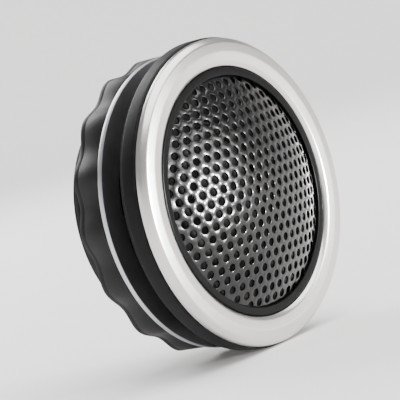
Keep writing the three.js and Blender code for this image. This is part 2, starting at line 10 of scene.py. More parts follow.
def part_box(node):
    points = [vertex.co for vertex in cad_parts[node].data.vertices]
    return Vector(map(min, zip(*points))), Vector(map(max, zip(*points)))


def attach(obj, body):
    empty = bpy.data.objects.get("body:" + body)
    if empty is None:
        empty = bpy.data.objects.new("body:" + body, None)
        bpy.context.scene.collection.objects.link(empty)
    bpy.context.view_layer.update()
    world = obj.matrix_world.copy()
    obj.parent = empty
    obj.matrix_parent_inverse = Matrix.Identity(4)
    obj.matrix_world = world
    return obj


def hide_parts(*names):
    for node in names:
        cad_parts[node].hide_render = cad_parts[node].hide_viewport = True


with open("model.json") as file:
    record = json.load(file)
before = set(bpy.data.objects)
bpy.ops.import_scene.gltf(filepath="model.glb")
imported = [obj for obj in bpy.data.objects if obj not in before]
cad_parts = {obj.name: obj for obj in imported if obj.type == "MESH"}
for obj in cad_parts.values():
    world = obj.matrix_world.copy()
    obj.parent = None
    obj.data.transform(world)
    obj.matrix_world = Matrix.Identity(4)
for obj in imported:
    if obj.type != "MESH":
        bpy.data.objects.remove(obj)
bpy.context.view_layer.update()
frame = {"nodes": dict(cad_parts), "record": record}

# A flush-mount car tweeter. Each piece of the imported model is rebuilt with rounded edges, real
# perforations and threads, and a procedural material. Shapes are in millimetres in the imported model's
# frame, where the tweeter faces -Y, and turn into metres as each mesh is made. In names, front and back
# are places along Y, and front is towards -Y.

RECORD = frame["record"]
BODIES = {node: body for body, nodes in RECORD["behaviour"]["bodies"].items() for node in nodes}

MM = 0.001
RIM_ROUND = 256  # facets round the widest pieces
ROUND = 192  # facets round the other large ones
INNER_ROUND = 128  # facets round the pieces inside
SMALL_ROUND = 96  # facets round the smaller of those
WELD = 1e-4  # vertices nearer than this become one
SHARP = radians(35)  # faces that meet at more than this have a sharp edge between them
CONVEX = radians(8)  # an edge that turns outwards by more than this can wear
EDGE_WIDTH = 0.2  # faces narrower than this along a convex edge show wear
STRAIGHT = radians(88)  # half the angle at a corner too slight to round
GAP = 0.05  # between two faces that meet, or the overlap of two solids in one piece


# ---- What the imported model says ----


def low_corner(node):
    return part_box(node)[0] / MM


def high_corner(node):
    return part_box(node)[1] / MM


def front(node):
    return low_corner(node).y


def back(node):
    return high_corner(node).y


def radii(node, after, before):
    """The distances from the Y axis of a CAD node's corners between two places along Y."""
    corners = [vertex.co / MM for vertex in frame["nodes"][node].data.vertices]
    return [hypot(p.x, p.z) for p in corners if after < p.y < before]


def outer(node, after=-inf, before=inf):
    return max(radii(node, after, before))


def bore(node, after=-inf, before=inf):
    return min(radii(node, after, before))


def middle(node):
    """A CAD node's middle in the XZ plane."""
    point = (low_corner(node) + high_corner(node)) / 2
    return Vector((point.x, point.z))


def half_size(node):
    return (high_corner(node) - low_corner(node)) / 2


# ---- Meshes ----


def finished(node, bm, look):
    """The bmesh as the piece that stands for a CAD node and rides on its body."""
    bmesh.ops.remove_doubles(bm, verts=bm.verts, dist=WELD)
    bmesh.ops.recalc_face_normals(bm, faces=bm.faces)
    mark_edges(bm)
    bmesh.ops.scale(bm, vec=(MM, MM, MM), verts=bm.verts)
    mesh = bpy.data.meshes.new(node)
    bm.to_mesh(mesh)
    bm.free()
    mesh.materials.append(LOOKS[look])
    piece = bpy.data.objects.new(node, mesh)
    bpy.context.scene.collection.objects.link(piece)
    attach(piece, BODIES[node])
    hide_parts(node)
    return piece


def mark_edges(bm):
    """Keeps the sharp edges sharp, and marks narrow faces along convex edges, where a finish wears."""
    for edge in bm.edges:
        edge.smooth = edge.calc_face_angle(pi) < SHARP
    wear = bm.faces.layers.float.new("edge_wear")
    for face in bm.faces:
        longest = max(edge.calc_length() for edge in face.edges)
        narrow = face.calc_area() < EDGE_WIDTH * longest
        convex = max(edge.calc_face_angle_signed(0) for edge in face.edges) > CONVEX
        face[wear] = 1.0 if face.smooth and narrow and convex else 0.0


def rounded(corners, radius, steps=4):
    """The closed outline through the corners, each rounded off. A corner may be (x, y, radius)."""
    points = []
    for i, corner in enumerate(corners):
        here = Vector(corner[:2])
        before = Vector(corners[i - 1][:2]) - here
        after = Vector(corners[(i + 1) % len(corners)][:2]) - here
        wanted = corner[2] if len(corner) > 2 else radius
        half = before.angle(after, pi) / 2
        if wanted <= 0 or half > STRAIGHT:
            points.append(here)
            continue
        room = 0.49 * min(before.length, after.length)
        reach = min(wanted / tan(half), room)
        start = here + before.normalized() * reach
        end = here + after.normalized() * reach
        for k in range(steps + 1):
            t = k / steps
            points.append(start * (1 - t) ** 2 + here * 2 * t * (1 - t) + end * t**2)
    return points


def join_rings(bm, a, b):
    """Faces between two closed rings of vertices. A ring of one vertex is a point."""
    for i in range(max(len(a), len(b))):
        j = i + 1
        corners = [a[i % len(a)], a[j % len(a)], b[j % len(b)], b[i % len(b)]]
        unique = dict.fromkeys(corners)
        if len(unique) > 2:
            bm.faces.new(unique).smooth = True


def turn(bm, outline, facets=ROUND):
    """Turns an outline of (radius, y) round the Y axis. One that touches the axis closes there."""
    rings = []
    for r, y in outline:
        count = facets if r > 1e-6 else 1
        angles = [2 * pi * i / facets for i in range(count)]
        rings.append([bm.verts.new((r * sin(a), y, r * cos(a))) for a in angles])
    for a, b in zip(rings, rings[1:] + rings[:1]):
        join_rings(bm, a, b)


def turned(node, corners, radius, look, facets=ROUND):
    """A piece turned from an outline of (radius, y) corners."""
    bm = bmesh.new()
    turn(bm, rounded(corners, radius), facets)
    return finished(node, bm, look)


def plain_ring(node, radius, look, facets=INNER_ROUND):
    """A ring with a CAD node's bore, outer radius and thickness."""
    near, far = front(node), back(node)
    corners = [(bore(node), near), (outer(node), near), (outer(node), far), (bore(node), far)]
    return turned(node, corners, radius, look, facets)


def circle(radius, count, centre=(0, 0), clockwise=False):
    """A loop of points in the XZ plane."""
    way = -1 if clockwise else 1
    angles = [way * 2 * pi * i / count for i in range(count)]
    return [Vector((centre[0] + radius * cos(a), centre[1] + radius * sin(a))) for a in angles]


def rectangle(centre, half_x, half_z, radius=0.0, clockwise=False):
    x, z = centre
    corners = [
        (x - half_x, z - half_z),
        (x + half_x, z - half_z),
        (x + half_x, z + half_z),
        (x - half_x, z + half_z),
    ]
    loop = rounded(corners, radius)
    return loop[::-1] if clockwise else loop


def cross(centre, arm, half):
    """A clockwise loop round a cross whose arms are arm long and 2 * half wide."""
    quarter = [(half, arm), (half, half), (arm, half)]
    loop = []
    for _ in range(4):
        loop += [centre + Vector(corner) for corner in quarter]
        quarter = [(z, -x) for x, z in quarter]
    return loop


def inset(loop, distance):
    """The loop moved to its left, which is into the material of a sheet."""
    sharpest = 0.4  # keeps a very sharp corner from moving far
    moved = []
    for i, point in enumerate(loop):
        before = (point - loop[i - 1]).normalized()
        after = (loop[(i + 1) % len(loop)] - point).normalized()
        left = Vector((-before.y - after.y, before.x + after.x)).normalized()
        square = max(left.dot(Vector((-after.y, after.x))), sharpest)
        moved.append(point + left * (distance / square))
    return moved


def sheet(bm, loops, near, far, edge, extra=()):
    """A solid between the surfaces y = near(x, z) and y = far(x, z), with rounded edges. Its outline is
    the first loop, anticlockwise, and the others are holes, clockwise. extra holds (x, z) points that
    both surfaces pass through, for a curved one."""
    arc = [(edge * (1 - sin(t)), edge * (1 - cos(t))) for t in (pi / 2, pi / 4, 0)]
    walls = []
    for loop in loops:
        rings = []
        for side, depth in reversed(arc):
            rings.append([bm.verts.new((p.x, near(p.x, p.y) + depth, p.y)) for p in inset(loop, side)])
        for side, depth in arc:
            rings.append([bm.verts.new((p.x, far(p.x, p.y) - depth, p.y)) for p in inset(loop, side)])
        for a, b in zip(rings, rings[1:]):
            join_rings(bm, a, b)
        walls.append((rings[0], rings[-1]))
    fill(bm, [wall[0] for wall in walls], near, extra)
    fill(bm, [wall[1] for wall in walls], far, extra)


def fill(bm, rings, height, extra):
    """Faces inside the first ring of vertices and outside the others, shaded flat unless curved."""
    corners = [vertex for ring in rings for vertex in ring]
    edges = []
    start = 0
    for ring in rings:
        edges += [(start + i, start + (i + 1) % len(ring)) for i in range(len(ring))]
        start += len(ring)
    corners += [bm.verts.new((x, height(x, z), z)) for x, z in extra]
    flat = [Vector((vertex.co.x, vertex.co.z)) for vertex in corners]
    holes = [[Vector((vertex.co.x, vertex.co.z)) for vertex in ring] for ring in rings[1:]]
    spans = [(min(p.x for p in hole), max(p.x for p in hole), hole) for hole in holes]
    points, _, faces, origin, _, _ = delaunay_2d_cdt(flat, edges, [], 1, 1e-7)
    for face in faces:
        centre = sum((points[i] for i in face), Vector((0, 0))) / len(face)
        if not any(low < centre.x < high and inside(centre, hole) for low, high, hole in spans):
            bm.faces.new([corners[origin[i][0]] for i in face]).smooth = bool(extra)


def inside(point, loop):
    """Whether the point is in the loop, by how often a line from it along X crosses the loop."""
    crossings = 0
    for a, b in zip(loop, loop[1:] + loop[:1]):
        if (a.y > point.y) != (b.y > point.y):
            crossings += point.x < (b.x - a.x) * (point.y - a.y) / (b.y - a.y) + a.x
    return crossings % 2 == 1


def level(y):
    """A flat surface, for one side of a sheet."""
    return lambda x, z: y


def thread(bm, root, crest, root_width, crest_width, turns, start, gaps=()):
    """A right-hand thread on the Y axis, between two angles in turns from +Z, where its middle is at
    y = start. Its ends fade over a sixteenth of a turn. It is left out where a gap says, as (middle,
    half width) in turns."""
    fade, least = 16, 0.05  # shares of the full height: gained per turn, and at the very end
    corners = [
        (root, -root_width / 2, 0),
        (crest, -crest_width / 2),
        (crest, crest_width / 2),
        (root, root_width / 2, 0),
    ]
    section = rounded(corners, 0.25, 2)
    first, last = turns
    count = round((last - first) * ROUND)
    previous = None
    for i in range(count + 1):
        at = first + (last - first) * i / count
        if any(abs(at % 1 - middle) < half for middle, half in gaps):
            cap(bm, previous)
            previous = None
            continue
        height = min(1, (at - first) * fade + least, (last - at) * fade + least)
        angle = 2 * pi * at
        ring = []
        for full_r, axial in section:
            r = root + (full_r - root) * height
            y = start + PITCH * at + axial
            ring.append(bm.verts.new((r * sin(angle), y, r * cos(angle))))
        if previous:
            join_rings(bm, previous, ring)
        else:
            cap(bm, ring)
        previous = ring
    cap(bm, previous)


def cap(bm, ring):
    """Closes the end of a thread or tube, if it has begun."""
    if ring:
        bm.faces.new(ring)


def tube(bm, points, radius, sides=16):
    """A round tube along a smooth curve through the points, with closed ends."""
    path = smooth_path([Vector(point) for point in points], 6)
    side = (path[1] - path[0]).orthogonal()
    previous = None
    for i, point in enumerate(path):
        along = (path[min(i + 1, len(path) - 1)] - path[max(i - 1, 0)]).normalized()
        side = (side - along * side.dot(along)).normalized()
        up = along.cross(side)
        angles = [2 * pi * k / sides for k in range(sides)]
        ring = [bm.verts.new(point + side * radius * cos(a) + up * radius * sin(a)) for a in angles]
        if previous:
            join_rings(bm, previous, ring)
        else:
            cap(bm, ring)
        previous = ring
    cap(bm, previous)


def smooth_path(points, steps):
    """A Catmull-Rom curve through the points."""
    p = [2 * points[0] - points[1], *points, 2 * points[-1] - points[-2]]
    path = []
    for a, b, c, d in zip(p, p[1:], p[2:], p[3:]):
        for k in range(steps):
            t = k / steps
            bend = (2 * a - 5 * b + 4 * c - d) * t**2 + (3 * b - a - 3 * c + d) * t**3
            path.append(0.5 * (2 * b + (c - a) * t + bend))
    path.append(points[-1])
    return path


# ---- Materials ----

# The sizes in mm of the slow variations over a surface
MOTTLE_SIZE = 9
GLOSS_SIZE = 2.5
WEAR_SIZE = 1.5


def surface(
    name,
    colour,
    roughness,
    metallic=0.0,
    specular=0.5,
    grain=0.3,
    bump=0.02,
    mottle=0.06,
    wear=None,
    sheen=0.0,
    stretch=(1, 1, 1),
):
    """A material with a fine grain, given by its size and its height in mm, and a slow variation of its
    colour and gloss. wear is the colour that shows along its edges."""
    material = bpy.data.materials.new(name)
    material.use_nodes = True
    nodes, links = material.node_tree.nodes, material.node_tree.links
    shader = nodes["Principled BSDF"]
    shader.inputs["Metallic"].default_value = metallic
    shader.inputs["Specular IOR Level"].default_value = specular
    shader.inputs["Sheen Weight"].default_value = sheen
    place = nodes.new("ShaderNodeTexCoord")
    mapping = nodes.new("ShaderNodeMapping")
    mapping.inputs["Scale"].default_value = stretch
    links.new(place.outputs["Object"], mapping.inputs["Vector"])

    def noise(size, detail):
        node = nodes.new("ShaderNodeTexNoise")
        node.inputs["Scale"].default_value = 1 / (size * MM)
        node.inputs["Detail"].default_value = detail
        links.new(mapping.outputs["Vector"], node.inputs["Vector"])
        return node.outputs["Fac"]

    def remap(value, low, high, start=0.3, end=0.7):
        node = nodes.new("ShaderNodeMapRange")
        node.inputs["From Min"].default_value = start
        node.inputs["From Max"].default_value = end
        node.inputs["To Min"].default_value = low
        node.inputs["To Max"].default_value = high
        links.new(value, node.inputs["Value"])
        return node.outputs["Result"]

    def colour_ramp(value, stops):
        node = nodes.new("ShaderNodeValToRGB")
        for element, (position, shade) in zip(node.color_ramp.elements, stops):
            element.position = position
            element.color = (*shade, 1)
        links.new(value, node.inputs["Fac"])
        return node.outputs["Color"]

    darker = tuple(c * (1 - mottle) for c in colour)
    lighter = tuple(min(1, c * (1 + mottle)) for c in colour)
    shade = colour_ramp(noise(MOTTLE_SIZE, 4), [(0.3, darker), (0.7, lighter)])
    if wear:
        edges = nodes.new("ShaderNodeAttribute")
        edges.attribute_name = "edge_wear"
        patchy = nodes.new("ShaderNodeMath")
        patchy.operation = "MULTIPLY"
        links.new(edges.outputs["Fac"], patchy.inputs[0])
        links.new(remap(noise(WEAR_SIZE, 3), 0, 0.5, start=0.45), patchy.inputs[1])
        worn = nodes.new("ShaderNodeMix")
        worn.data_type = "RGBA"
        by_name = {socket.identifier: socket for socket in (*worn.inputs, *worn.outputs)}
        by_name["B_Color"].default_value = (*wear, 1)
        links.new(patchy.outputs[0], by_name["Factor_Float"])
        links.new(shade, by_name["A_Color"])
        shade = by_name["Result_Color"]
    links.new(shade, shader.inputs["Base Color"])
    gloss = remap(noise(GLOSS_SIZE, 4), roughness * 0.94, roughness * 1.06)
    links.new(gloss, shader.inputs["Roughness"])
    height = nodes.new("ShaderNodeBump")
    height.inputs["Distance"].default_value = bump * MM
    links.new(noise(grain, 3), height.inputs["Height"])
    links.new(height.outputs["Normal"], shader.inputs["Normal"])
    return material


def moulding(name, shade, roughness, specular=0.2, grain=0.35, bump=0.03):
    """Black moulded plastic, paler where it is worn."""
    colour = (shade, shade, shade * 1.03)
    wear = (shade * 3.5, shade * 3.5, shade * 3.6)
    return surface(name, colour, roughness, specular=specular, grain=grain, bump=bump, wear=wear)


def metal(name, colour, roughness, grain=0.4, bump=0.01, **more):
    return surface(name, colour, roughness, metallic=1.0, grain=grain, bump=bump, **more)


ALONG_BLADE = (1, 0.12, 1)  # a grain drawn out along Y
LOOKS = {
    "satin": metal("satin_silver", (0.66, 0.645, 0.625), 0.25, grain=0.22, bump=0.006, mottle=0.02),
    "mesh": surface("black_powder_coat", (0.0015, 0.0014, 0.0013), 0.18, bump=0.003),
    "bezel": surface("black_bezel", (0.0015, 0.0015, 0.0015), 0.25, specular=0.1, bump=0.004),
    "plastic": moulding("black_moulding", 0.007, 0.5),
    "cup": moulding("black_cup_moulding", 0.004, 0.45, specular=0.12),
    "nut": moulding("black_nut_moulding", 0.009, 0.5, grain=0.4, bump=0.035),
    "block": moulding("terminal_moulding", 0.016, 0.36, specular=0.3, grain=0.5, bump=0.01),
    "foam": surface("closed_cell_foam", (0.016, 0.016, 0.017), 0.95, specular=0.2, bump=0.06, mottle=0.2),
    "rubber": surface("moulded_rubber", (0.012, 0.012, 0.012), 0.75, specular=0.3, grain=0.4),
    "silk": surface(
        "coated_silk", (0.007, 0.006, 0.005), 0.6, specular=0.2, grain=0.2, bump=0.05, sheen=0.1
    ),
    "zinc": metal("zinc_plate", (0.5, 0.51, 0.53), 0.38, grain=0.5, bump=0.012, mottle=0.08),
    "foil": metal("aluminium_foil", (0.75, 0.75, 0.76), 0.35, bump=0.006),
    "copper": metal("copper", (0.76, 0.34, 0.17), 0.32, grain=0.25, mottle=0.08),
    "brass": metal("stamped_brass", (0.66, 0.46, 0.19), 0.3, grain=0.3, stretch=ALONG_BLADE),
    "tin": metal("tinned_tag", (0.62, 0.61, 0.58), 0.35, grain=0.5, bump=0.02),
    "steel": metal("machined_steel", (0.52, 0.52, 0.53), 0.34, grain=0.3),
    "nickel": metal("nickel_plate", (0.7, 0.68, 0.64), 0.18, grain=0.6, bump=0.006),
    "red": surface("red_insulation", (0.42, 0.02, 0.015), 0.38, grain=0.6, bump=0.01),
    "black": surface("black_insulation", (0.015, 0.015, 0.015), 0.38, grain=0.6, bump=0.01),
    "felt": surface("wool_felt", (0.3, 0.29, 0.27), 0.95, grain=0.35, bump=0.2, mottle=0.15, sheen=0.3),
    "screw": surface(
        "black_oxide", (0.03, 0.03, 0.031), 0.35, metallic=0.7, grain=0.4, bump=0.01, wear=(0.3, 0.3, 0.3)
    ),
}


# ---- Sizes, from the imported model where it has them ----

FLANGE_R = outer("mounting_cup")
FLANGE_FRONT = front("mounting_cup")
FLANGE_BACK = front("flange_gasket") - GAP
NECK_START = 2  # a y just past the flange and its gasket
NECK_END = back("mounting_cup")
NECK_BORE_R = bore("mounting_cup")
NECK_CREST_R = outer("mounting_cup", NECK_START, NECK_END - 0.1)
NECK_ROOT_R = outer("mounting_cup", after=NECK_END - 0.1)

TRIM_R = outer("trim_ring")
TRIM_BORE_R = bore("trim_ring")
TRIM_CREST = front("trim_ring")
TONGUE_OUTER_R = outer("trim_ring", after=FLANGE_FRONT)
TONGUE_BORE_R = bore("trim_ring", after=FLANGE_FRONT)
BEZEL_BORE_R = bore("grille_bezel")
BEZEL_FRONT = front("grille_bezel")
BEZEL_R = outer("grille_bezel", before=FLANGE_FRONT - 0.1)

GRILLE_RIM_R = outer("grille_mesh")
GRILLE_APEX = front("grille_mesh")
GRILLE_BACK = back("grille_mesh")
SHEET = 0.52  # the mesh's thickness
GRILLE_RIM = GRILLE_BACK - SHEET
GRILLE_R = bore("grille_mesh", GRILLE_RIM - 0.01, GRILLE_RIM + 0.01)
HOLE_PITCH = 2.8
HOLE_R = 0.85
LIP_BACK = GRILLE_RIM - 0.45  # the back of the bezel's lip over the mesh

PITCH = 2 * pi * RECORD["behaviour"]["couplings"][0]["ratio"] / MM
THREAD_START = 1.6  # y of the neck's thread where it crosses +Z
THREAD_ROOT_WIDTH = 1.9
THREAD_CREST_WIDTH = 1.1
NECK_TURNS = (0, 4)  # where the neck's thread starts and ends, in turns from +Z
NUT_TURNS = (1.25, 2.375)
NUT_BORE_R = 27.8
WASHER_BORE_R = 27.75
KEY_FLOOR_R = bore("thrust_washer") - 0.3
KEY_HALF = 2.5  # half the width of a keyway
PLATE = 1.25  # the face plate's thickness at its edge

CAP_FRONT = front("rear_cap")
CAP_BACK = back("rear_cap")
CAP_R = outer("rear_cap")
SCREWS = [f"case_screw_{number}" for number in (1, 2, 3)]
TERMINALS = {"positive": 1, "negative": -1}


# ---- Front ----


def build_trim_ring():
    """A crowned ring with a tongue that sits in the flange's groove."""
    seat = FLANGE_FRONT - GAP
    tongue_end = back("trim_ring")
    corners = [
        (TRIM_BORE_R, seat, 0.1),
        (TONGUE_BORE_R, seat, 0),
        (TONGUE_BORE_R, tongue_end, 0.1),
        (TONGUE_OUTER_R, tongue_end, 0.1),
        (TONGUE_OUTER_R, seat, 0),
        (TRIM_R, seat, 0.15),
        (TRIM_R, TRIM_CREST + 1.4, 1.2),
        (TRIM_R - 1.1, TRIM_CREST + 0.28, 1.4),
        (TRIM_R - 3.4, TRIM_CREST - 0.06, 2.4),
        (TRIM_BORE_R + 1.0, TRIM_CREST + 0.22, 1.2),
        (TRIM_BORE_R, TRIM_CREST + 0.9, 0.8),
    ]
    bm = bmesh.new()
    turn(bm, rounded(corners, 0.3, 6), RIM_ROUND)
    return finished("trim_ring", bm, "satin")


def build_grille_mesh():
    """A domed sheet, perforated right up to its flat rim."""
    rise = GRILLE_RIM - GRILLE_APEX
    sphere = (GRILLE_R**2 + rise**2) / (2 * rise)

    def near(x, z):
        return GRILLE_APEX + sphere - sqrt(sphere**2 - min(hypot(x, z), GRILLE_R) ** 2)

    def far(x, z):
        return near(x, z) + SHEET

    row_step = HOLE_PITCH * sqrt(3) / 2
    rows = int(GRILLE_R / row_step) + 1
    places = []
    for row in range(-rows, rows + 1):
        shift = HOLE_PITCH / 2 if row % 2 else 0
        places += [(column * HOLE_PITCH + shift, row * row_step) for column in range(-rows - 2, rows + 3)]
    border, bend_width, clearance = 0.25, 0.35, 0.2
    reach = GRILLE_RIM_R - HOLE_R - border
    places = [place for place in places if hypot(*place) < reach]
    bend = circle(GRILLE_R, ROUND) + circle(GRILLE_R - bend_width, ROUND)
    clear = HOLE_R + clearance
    extra = [p for p in bend if all(hypot(p.x - x, p.y - z) > clear for x, z in places)]
    loops = [circle(GRILLE_RIM_R, ROUND)] + [circle(HOLE_R, 18, place, True) for place in places]
    bm = bmesh.new()
    sheet(bm, loops, near, far, 0.14, extra)
    return finished("grille_mesh", bm, "mesh")


def build_bezel():
    """A ring whose lip laps over the mesh's rim, with a foot that the flange holds."""
    bore_r = GRILLE_RIM_R + 0.08
    foot = FLANGE_FRONT + 0.02
    corners = [
        (BEZEL_BORE_R, LIP_BACK, 0.08),
        (BEZEL_BORE_R, BEZEL_FRONT, 0.3),
        (BEZEL_R, BEZEL_FRONT, 0.3),
        (BEZEL_R, foot, 0),
        (outer("grille_bezel"), foot, 0.1),
        (outer("grille_bezel"), back("grille_bezel"), 0.1),
        (bore_r, back("grille_bezel"), 0.1),
        (bore_r, GRILLE_RIM - 0.1, 0),
    ]
    return turned("grille_bezel", corners, 0.1, "bezel")


def build_face_plate():
    """The waveguide round the dome, a skirt that centres the driver and bosses for the case screws."""
    near = front("face_plate")
    plate_back = near + PLATE
    throat_back = front("diaphragm_gasket") - 0.06
    throat_r = bore("face_plate")
    plate_r = outer("face_plate")
    skirt_r, skirt_bore_r, skirt_end = 24.9, 21.6, 2.4
    boss_r, hole_r = 1.6, 1.05
    corners = [
        (plate_r, near, 0.15),
        (plate_r, plate_back, 0.1),
        (skirt_r, plate_back, 0),
        (skirt_r, skirt_end, 0.2),
        (skirt_bore_r, skirt_end, 0.2),
        (skirt_bore_r, throat_back, 0),
        (throat_r, throat_back, 0.1),
        (throat_r, throat_back - 0.5, 0.25),
        (throat_r + 2.3, near + 2.25, 3),
        (throat_r + 5.8, near + 0.75, 3),
        (plate_r - 2.5, near, 1),
    ]
    bm = bmesh.new()
    turn(bm, rounded(corners, 0.2, 6))
    for screw in SCREWS:
        place = middle(screw)
        loops = [circle(boss_r, 32, place), circle(hole_r, 24, place, True)]
        sheet(bm, loops, level(skirt_end - 0.3), level(back("face_plate")), 0.15)
    return finished("face_plate", bm, "plastic")


# ---- Mounting ----


def build_cup():
    """The stepped flange, with the groove for the trim ring's tongue, and the threaded neck."""
    fit = 0.2  # round what sits in the cup
    edge = outer("grille_bezel") + fit
    groove_floor = back("trim_ring") + fit
    step_r = outer("face_plate") + fit
    step_front = back("grille_bezel") + GAP
    step_back = front("face_plate") + PLATE + GAP
    flange = [
        (FLANGE_R, FLANGE_BACK, 0.3),
        (FLANGE_R, FLANGE_FRONT, 0.5),
        (TONGUE_OUTER_R + fit, FLANGE_FRONT, 0),
        (TONGUE_OUTER_R + fit, groove_floor, 0),
        (TONGUE_BORE_R - fit, groove_floor, 0),
        (TONGUE_BORE_R - fit, FLANGE_FRONT, 0),
        (edge, FLANGE_FRONT, 0.1),
        (edge, step_front, 0),
        (step_r, step_front, 0.1),
        (step_r, step_back, 0),
        (NECK_BORE_R, step_back, 0.15),
        (NECK_BORE_R, FLANGE_BACK + GAP, 0),
        (NECK_ROOT_R - fit, FLANGE_BACK + GAP, 0),
        (NECK_ROOT_R - fit, FLANGE_BACK, 0),
    ]
    bm = bmesh.new()
    turn(bm, rounded(flange, 0.2, 5), RIM_ROUND)
    neck = [neck_outline(), circle(NECK_BORE_R, ROUND, clockwise=True)]
    sheet(bm, neck, level(FLANGE_BACK), level(NECK_END), 0.25)
    run_out = 0.012  # radians of bare neck beside a keyway
    half = (asin(KEY_HALF / NECK_ROOT_R) + run_out) / (2 * pi)
    keyways = [(0.25, half), (0.75, half)]
    root = NECK_ROOT_R - 0.3
    widths = (THREAD_ROOT_WIDTH, THREAD_CREST_WIDTH)
    thread(bm, root, NECK_CREST_R, *widths, NECK_TURNS, THREAD_START, keyways)
    return finished("mounting_cup", bm, "cup")


def neck_outline():
    """The neck's section, round with a flat-bottomed keyway at each side."""
    points = circle(NECK_ROOT_R, ROUND)
    return [Vector((keyed(p, KEY_HALF, KEY_FLOOR_R), p.y)) for p in points]


def keyed(point, half, floor_r):
    """The point's x, or the floor of a keyway or tip of a key where the point is within half of z = 0."""
    if abs(point.y) > half:
        return point.x
    return floor_r if point.x > 0 else -floor_r


def build_washer():
    """A pressed ring with two keys that slide in the neck's keyways."""
    key_half = KEY_HALF - 0.4
    loop = circle(WASHER_BORE_R, RIM_ROUND, clockwise=True)
    inner = [Vector((keyed(p, key_half, bore("thrust_washer")), p.y)) for p in loop]
    bm = bmesh.new()
    loops = [circle(outer("thrust_washer"), RIM_ROUND), inner]
    sheet(bm, loops, level(front("thrust_washer")), level(back("thrust_washer")), 0.15)
    return finished("thrust_washer", bm, "zinc")


def build_lock_ring():
    """A ring nut with a scalloped grip and a ribbed channel in its back."""
    near, far = front("lock_ring"), back("lock_ring")
    lobes, depth = 16, 0.7
    grip = outer("lock_ring") - depth
    outline = []
    for point in circle(1, lobes * 16):
        wave = cos(lobes * point.angle_signed(Vector((1, 0)), 0))
        outline.append(point * (grip + depth * wave))
    floor = far - 1.2
    wall_foot = floor - 0.35
    channel_r, channel_bore_r = 31.3, 29.0
    bore_loop = circle(NUT_BORE_R, ROUND, clockwise=True)
    bm = bmesh.new()
    sheet(bm, [outline, bore_loop], level(near), level(floor), 0.3)
    rim = [outline, circle(channel_r, ROUND, clockwise=True)]
    sheet(bm, rim, level(wall_foot), level(far), 0.35)
    hub = [circle(channel_bore_r, ROUND), bore_loop]
    sheet(bm, hub, level(wall_foot), level(far), 0.3)
    for i in range(2 * lobes):
        angle = 2 * pi * (i + 0.5) / (2 * lobes)
        rib(bm, angle, (channel_bore_r - 0.2, channel_r + 0.3), (floor - 0.3, far - 0.3), 0.8)
    start = THREAD_START + PITCH / 2  # in the groove of the neck's thread
    widths = (THREAD_CREST_WIDTH, THREAD_ROOT_WIDTH)
    thread(bm, bore("lock_ring"), NUT_BORE_R + 0.3, *widths, NUT_TURNS, start)
    return finished("lock_ring", bm, "nut")


def rib(bm, angle, reach, depth, width):
    """A small radial bar, between two radii and two places along Y."""
    along = Vector((cos(angle), sin(angle)))
    across = Vector((-along.y, along.x)) * width / 2
    inner, outer_end = along * reach[0], along * reach[1]
    loop = [inner - across, outer_end - across, outer_end + across, inner + across]
    sheet(bm, [loop], level(depth[0]), level(depth[1]), 0.12)


# ---- Diaphragm, motor and wiring ----


def build_dome():
    """A thin spherical cap."""
    rim_r, rim = outer("dome"), back("dome")
    rise = rim - front("dome")
    sphere = (rim_r**2 + rise**2) / (2 * rise)
    centre = front("dome") + sphere
    skin, rim_width, steps = 0.3, 0.4, 32

    def arc(radius, edge_r):
        """An arc about the sphere's centre, from the axis out to edge_r."""
        edge = asin(edge_r / radius)
        angles = [edge * k / steps for k in range(steps + 1)]
        return [(radius * sin(a), min(centre - radius * cos(a), rim)) for a in angles]

    bm = bmesh.new()
    turn(bm, arc(sphere, rim_r) + arc(sphere - skin, rim_r - rim_width)[::-1], INNER_ROUND)
    return finished("dome", bm, "silk")


def build_surround():
    """A half roll of coated cloth with a flat foot round it."""
    skin, side_skin, steps = 0.28, 0.25, 24
    rim = back("surround") - skin
    rise = rim - front("surround")
    half = 1.75  # half the roll's width
    roll_r = bore("surround") + half
    foot_r = outer("surround")
    angles = [pi * k / steps for k in range(steps + 1)]
    over = [(roll_r - half * cos(a), rim - rise * sin(a)) for a in angles]
    under = [(roll_r + (half - side_skin) * cos(a), rim + skin - rise * sin(a)) for a in angles]
    bm = bmesh.new()
    turn(bm, [*over, (foot_r, rim), (foot_r, rim + skin), *under], INNER_ROUND)
    return finished("surround", bm, "silk")


def build_winding():
    """Turns of round wire, as rings side by side."""
    near, far, r = front("voice_coil"), back("voice_coil"), outer("voice_coil")
    wire, steps = 0.2, 4
    outline = [(bore("voice_coil"), near)]
    for i in range(int((far - near) / wire)):
        for k in range(steps + 1):
            angle = pi * k / steps
            crest = r - wire / 2 + wire / 2 * sin(angle)
            outline.append((crest, near + wire * (i + 0.5 - 0.5 * cos(angle))))
    outline.append((bore("voice_coil"), far))
    bm = bmesh.new()
    turn(bm, outline, SMALL_ROUND)
    return finished("voice_coil", bm, "copper")


def build_copper_cap():
    """A thin cup over the pole plate, with a hole for the vent."""
    near, far, r = front("copper_cap"), back("copper_cap"), outer("copper_cap")
    top, wall = 0.25, 0.2
    vent_r = bore("copper_cap")
    corners = [
        (vent_r, near),
        (r, near, 0.3),
        (r, far),
        (r - wall, far),
        (r - wall, near + top, 0.2),
        (vent_r, near + top),
    ]
    return turned("copper_cap", corners, 0.06, "copper", INNER_ROUND)


def build_pot():
    """The steel return cup, with the lip that faces the voice coil."""
    near, far, r = front("yoke_pot"), back("yoke_pot"), outer("yoke_pot")
    lip_r = bore("yoke_pot", before=near + 0.1)
    vent_r = bore("yoke_pot")
    inner_r, lip_back, floor = lip_r + 1.4, near + 4.55, far - 2.8
    corners = [
        (lip_r, near, 0.2),
        (r, near, 0.3),
        (r, far, 0.9),
        (vent_r, far, 0.3),
        (vent_r, floor, 0.1),
        (inner_r, floor, 0.3),
        (inner_r, lip_back + 0.6, 0.1),
        (lip_r, lip_back, 0.1),
    ]
    return turned("yoke_pot", corners, 0.2, "zinc", INNER_ROUND)


